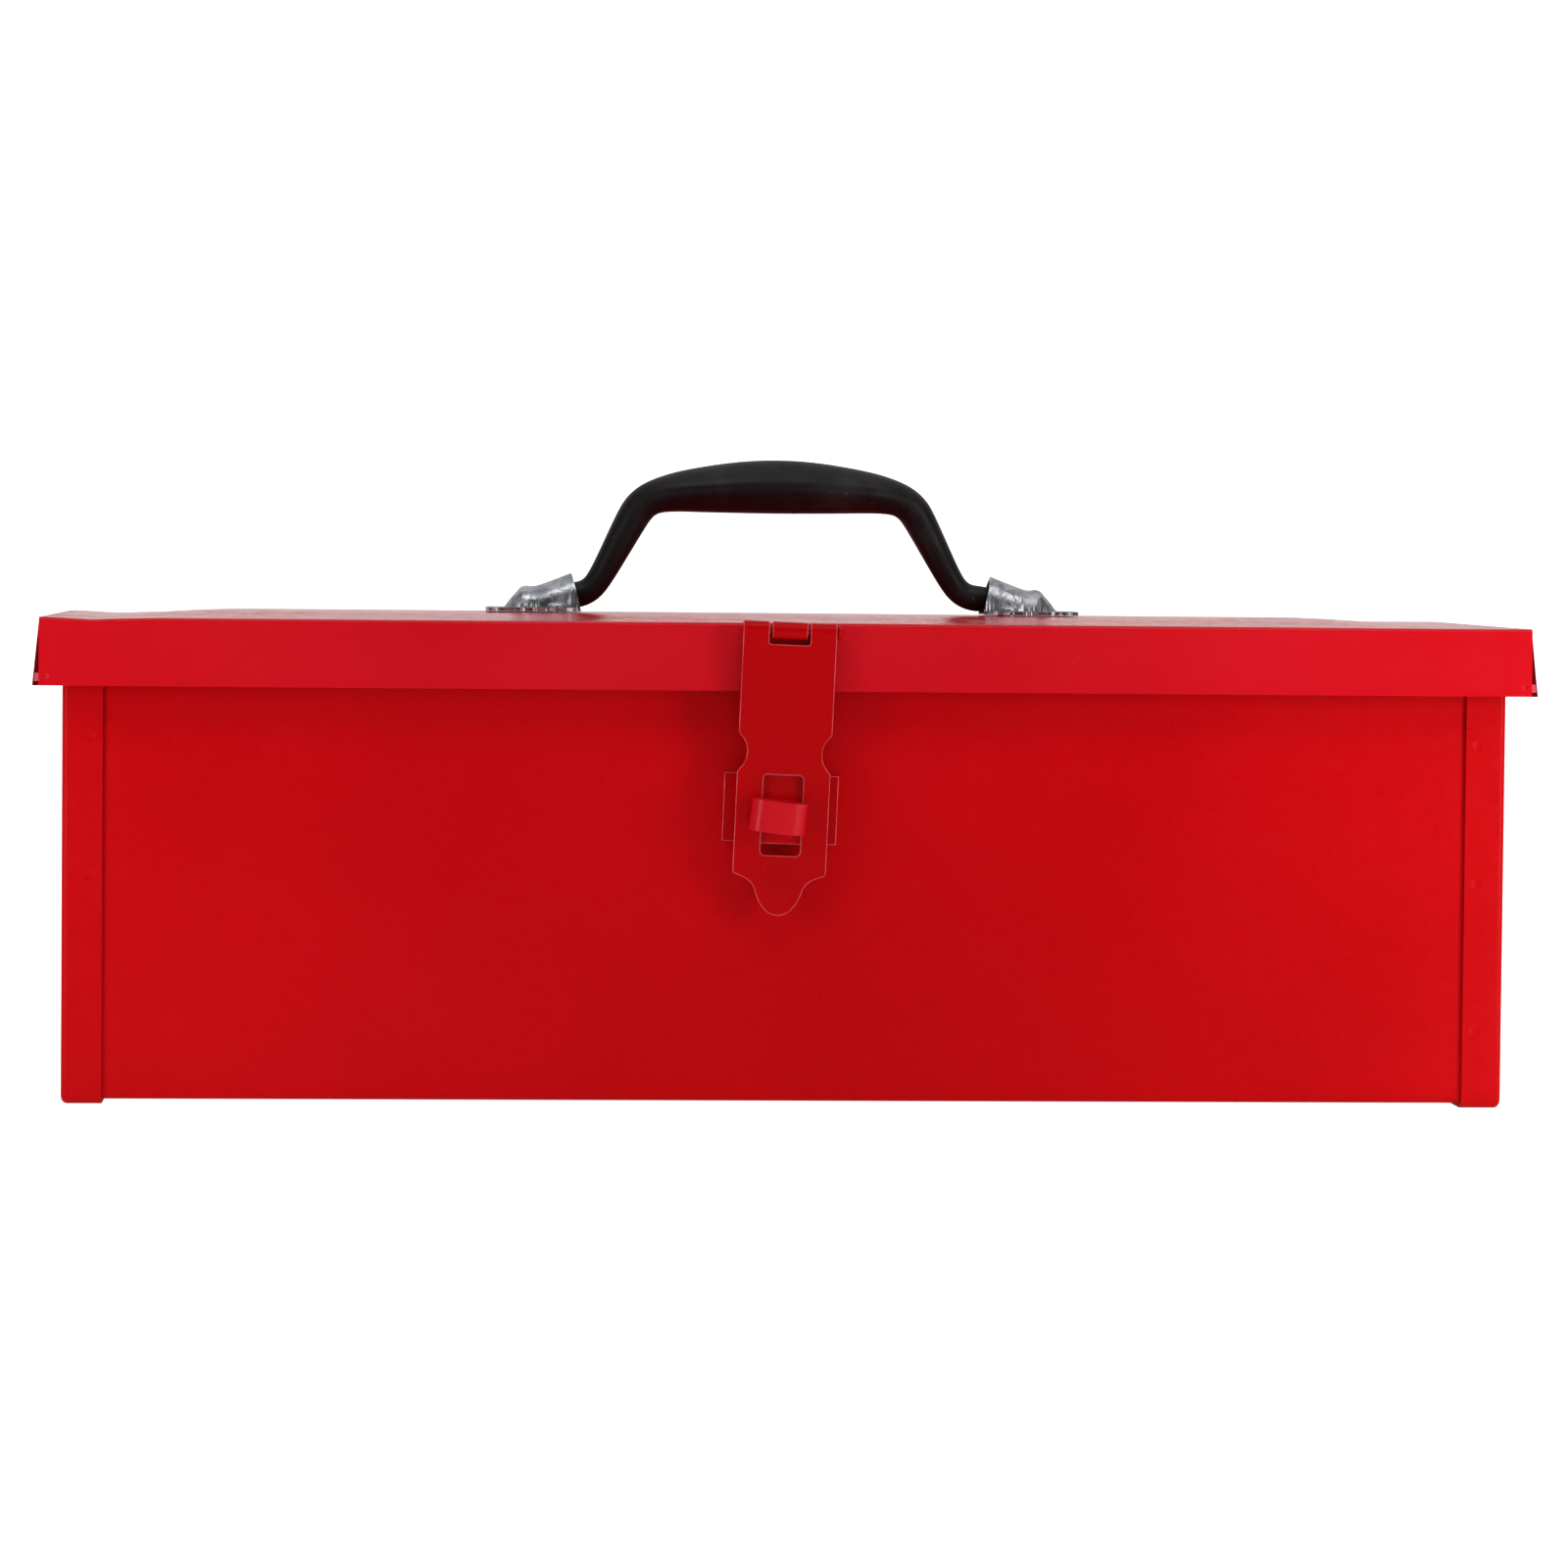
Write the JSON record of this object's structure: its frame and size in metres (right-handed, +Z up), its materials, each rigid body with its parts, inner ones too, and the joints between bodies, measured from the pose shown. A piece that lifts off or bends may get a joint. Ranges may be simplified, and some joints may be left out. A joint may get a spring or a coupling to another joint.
{
  "type": "hinged steel box",
  "caption": "Rectangular sheet-steel box with an overhanging hinged lid, a pivoting carrying handle on top and a front hasp that closes over a turning staple.",
  "frame": {"origin": "on the floor, in the middle of the whole outline seen from above", "axes": "+X along the length of the box, -Y towards the front with the hasp, +Z up"},
  "size_m": [0.4096, 0.1668, 0.1771],
  "materials": {
    "red_paint": "gloss enamel",
    "red_hardware": "gloss enamel",
    "zinc": "galvanised",
    "black_plastic": "slightly rough"
  },
  "bodies": {
    "body": {"body_shell": "red_paint", "left_end_panel": "red_paint", "right_end_panel": "red_paint", "body_hinge_leaf": "red_hardware", "hinge_pin": "zinc", "staple_bracket": "red_hardware"},
    "lid": {"lid": "red_paint", "lid_hinge_leaf": "red_hardware", "hasp_bracket": "red_hardware", "hasp_pin": "red_hardware", "left_handle_clip": "zinc", "right_handle_clip": "zinc", "left_clip_front_rivet": "zinc", "left_clip_rear_rivet": "zinc", "right_clip_front_rivet": "zinc", "right_clip_rear_rivet": "zinc"},
    "handle": {"handle": "black_plastic"},
    "hasp": {"hasp_strap": "red_hardware"},
    "staple": {"staple_loop": "red_hardware", "staple_rivet": "red_hardware", "staple_washer": "red_hardware"}
  },
  "joints": [
    {"name": "lid_hinge", "type": "hinge", "parent": "body", "child": "lid", "pos_m": [0, 0.0809, 0.1107], "axis": [-1, 0, 0], "range_deg": [0, 150]},
    {"name": "handle_pivot", "type": "hinge", "parent": "lid", "child": "handle", "pos_m": [0.0004, 0.0064, 0.1382], "axis": [1, 0, 0], "range_deg": [-80, 80]},
    {"name": "hasp_swing", "type": "hinge", "parent": "lid", "child": "hasp", "pos_m": [-0.0007, -0.0743, 0.1299], "axis": [-0.9994, 0, 0.0349], "range_deg": [0, 175]},
    {"name": "staple_swivel", "type": "hinge", "parent": "body", "child": "staple", "pos_m": [-0.00244, -0.07169, 0.08], "axis": [0.0018, 0.9986, 0.0523], "continuous": true}
  ]
}
